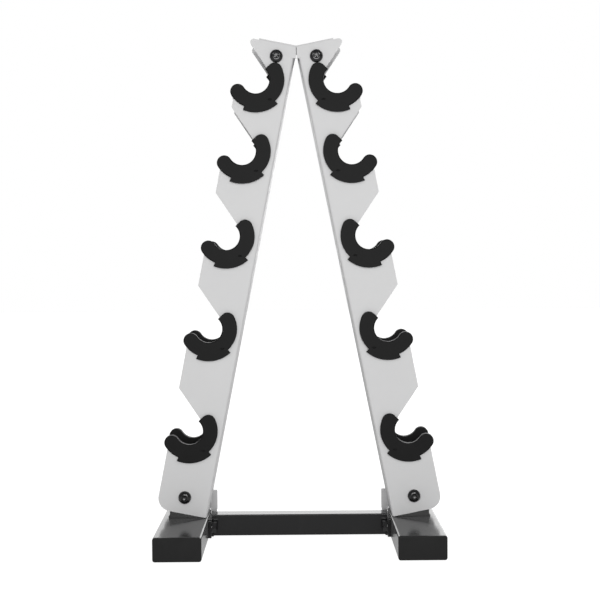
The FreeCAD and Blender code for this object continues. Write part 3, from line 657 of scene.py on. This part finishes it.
def lock_nut(across_flats, thickness, bore):
    """A nylon-insert nut about Z that lies from zero up: a hexagon and a rolled collar."""
    hex_share, sunk, roll, lip_depth = 0.72, 0.2 * MM, 1 * MM, 0.5 * MM
    collar_inset, lip_wall, seat_wall = 0.5 * MM, 1.5 * MM, 1.7 * MM
    form = chamfered_hexagon(across_flats, 0, hex_share * thickness)
    collar = across_flats / 2 - collar_inset
    ring = turned_form([(bore, sunk), (collar, sunk), (collar, thickness - roll)]
                       + arc((collar - roll, thickness - roll), roll, 10, 90, 5)
                       + [(collar - lip_wall, thickness), (collar - seat_wall, thickness - lip_depth),
                          (bore, thickness - lip_depth)])
    join(form, ring)
    return form


def nylon_ring(bore, collar, thickness):
    """The insert that shows inside the collar, its inner rim eased."""
    collar_wall, eased_by = 1.8 * MM, 0.2 * MM
    edge = collar - collar_wall
    low, rim, high = thickness - 0.7 * MM, thickness - 0.4 * MM, thickness - 0.25 * MM
    return turned_form([(bore, low), (edge, low), (edge, high), (bore + eased_by, high), (bore, rim)])


def washer(inside, outside, thickness):
    """A stamped washer about Z from zero up, with rolled edges."""
    soft = 0.35 * MM
    ring = [(inside, soft), (inside + soft, 0), (outside - soft, 0), (outside, soft),
            (outside, thickness - soft), (outside - soft, thickness), (inside + soft, thickness),
            (inside, thickness - soft), (inside, soft)]
    return turned_form(ring)


def make_long_fasteners():
    """Button-head bolts from front to back, with a washer and a lock nut behind each."""
    bolt_radius, washer_bore, washer_radius = 5.0 * MM, 5.3 * MM, 8.5 * MM
    nut_flats, nut_bore, nut_collar = 16.0 * MM, 5.05 * MM, 7.5 * MM
    face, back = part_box("right_upright")[0].y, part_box("right_upright")[1].y
    to_front = Matrix.Rotation(math.radians(90), 4, "X")
    to_back = Matrix.Rotation(math.radians(-90), 4, "X")
    washers, nuts, inserts = bmesh.new(), bmesh.new(), bmesh.new()
    washer_low, washer_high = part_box("upright_washers")
    washer_thick = washer_high.y - washer_low.y
    nut_low, nut_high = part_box("upright_lock_nuts")
    nut_thick = nut_high.y - nut_low.y
    for side in SIDES:
        for level in ("top", "base"):
            node = f"{side}_{level}_bolt"
            low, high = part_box(node)
            middle = centre(node)
            head = (high.x - low.x) / 2
            form = button_bolt(bolt_radius, head, face - low.y, high.y - face)
            moved(form, Matrix.Translation((middle.x, face, middle.z)) @ to_front)
            finish_piece(form, f"{side}_{level}_screw", ZINC, "black_zinc_steel", node)
            spot = Matrix.Translation((middle.x, back, middle.z)) @ to_back
            beyond = Matrix.Translation((middle.x, back + washer_thick, middle.z)) @ to_back
            join(washers, moved(washer(washer_bore, washer_radius, washer_thick), spot))
            join(nuts, moved(lock_nut(nut_flats, nut_thick, nut_bore), beyond))
            join(inserts, moved(nylon_ring(nut_bore, nut_collar, nut_thick), beyond))
    finish_piece(washers, "rear_washers", ZINC, "black_zinc_steel", "upright_washers")
    finish_piece(nuts, "rear_lock_nuts", ZINC, "black_zinc_steel", "upright_lock_nuts")
    finish_piece(inserts, "lock_nut_inserts", NYLON, "cap_plastic")


def make_bar_fasteners():
    """Hexagon bolts through the end plates into the feet."""
    low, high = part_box("crossbar_bolts")
    plate_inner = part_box("right_end_plate")[0].x
    spacing, head_flats, head_rise = 36.0 * MM, 13.0 * MM, 5.3 * MM
    washer_thick, washer_bore, washer_radius = 1.6 * MM, 4.3 * MM, 7.0 * MM
    shank, chamfer, sunk = 4.0 * MM, 0.7 * MM, 0.2 * MM
    bolts, washers = bmesh.new(), bmesh.new()
    for sign in (-1, 1):
        outwards = Matrix.Rotation(math.radians(-90) * sign, 4, "Y")
        for way in (-1, 1):
            place = (sign * plate_inner, way * spacing / 2, (low.z + high.z) / 2)
            spot = Matrix.Translation(place) @ outwards
            form = chamfered_hexagon(head_flats, washer_thick, washer_thick + head_rise, both=False)
            length = high.x - plate_inner
            join(form, turned_form([(0, -length), (shank - chamfer, -length), (shank, -length + chamfer),
                                    (shank, washer_thick + sunk), (0, washer_thick + sunk)]))
            join(bolts, moved(form, spot))
            join(washers, moved(washer(washer_bore, washer_radius, washer_thick), spot))
    finish_piece(bolts, "bar_hex_bolts", ZINC, "black_zinc_steel", "crossbar_bolts")
    finish_piece(washers, "bar_washers", ZINC, "black_zinc_steel", "crossbar_washers")


# ---------------------------------------------------------------- welds

def weld_bead(form, start, end, radius):
    """A run of small overlapping ripples from one point to another."""
    ripple, low_ridge, high_ridge = 0.6, 0.88, 1.13
    run = end - start
    count = max(8, round(run.length / (ripple * radius)))
    ring = bmesh.ops.create_circle(form, cap_ends=True, segments=10, radius=radius)["verts"]
    turn = run.to_track_quat("Z", "Y").to_matrix().to_4x4()
    bmesh.ops.transform(form, matrix=Matrix.Translation(start) @ turn, verts=ring)
    face = ring[0].link_faces[0]
    spot = start.copy()
    for step in range(count):
        new = bmesh.ops.extrude_face_region(form, geom=[face])["geom"]
        face = [item for item in new if isinstance(item, bmesh.types.BMFace)][0]
        spot += run / count
        bmesh.ops.translate(form, verts=face.verts, vec=run / count)
        size = low_ridge if step % 2 else high_ridge
        bmesh.ops.scale(form, vec=(size, size, size), verts=face.verts, space=Matrix.Translation(-spot))


def make_welds():
    """Beads up and under both ends of the crossbar and along the sides of the foot brackets."""
    form = bmesh.new()
    low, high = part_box("crossbar_tube")
    plate_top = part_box("right_end_plate")[1].z
    soft, inset, bar_radius = 2.0 * MM, 0.5 * MM, 1.7 * MM
    for x in (low.x + inset, high.x - inset):
        for y in (low.y, high.y):
            weld_bead(form, Vector((x, y, low.z + soft)), Vector((x, y, plate_top - soft)), bar_radius)
        weld_bead(form, Vector((x, low.y + soft, low.z)), Vector((x, high.y - soft, low.z)), bar_radius)
    lift, bracket_radius = 0.8 * MM, 1.9 * MM
    for side in SIDES:
        low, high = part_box(f"{side}_foot_bracket")
        for x in (low.x, high.x):
            weld_bead(form, Vector((x, low.y + soft, low.z + lift)),
                      Vector((x, high.y - soft, low.z + lift)), bracket_radius)
    bmesh.ops.recalc_face_normals(form, faces=form.faces)
    finish_piece(form, "weld_beads", BLACK, "black_powder_coat")


def carry_over():
    """Nodes that keep their own meshes only get a finish."""
    mesh = NODES["foot_weld_nuts"].data
    mesh.materials.clear()
    mesh.materials.append(STEEL)


bpy.context.scene.view_settings.view_transform = "Standard"
add_camera()
add_world()
for lamp in LAMPS:
    add_softbox(*lamp)
add_floor()
make_sheet_metal()
make_pads()
make_long_fasteners()
make_bar_fasteners()
make_welds()
carry_over()
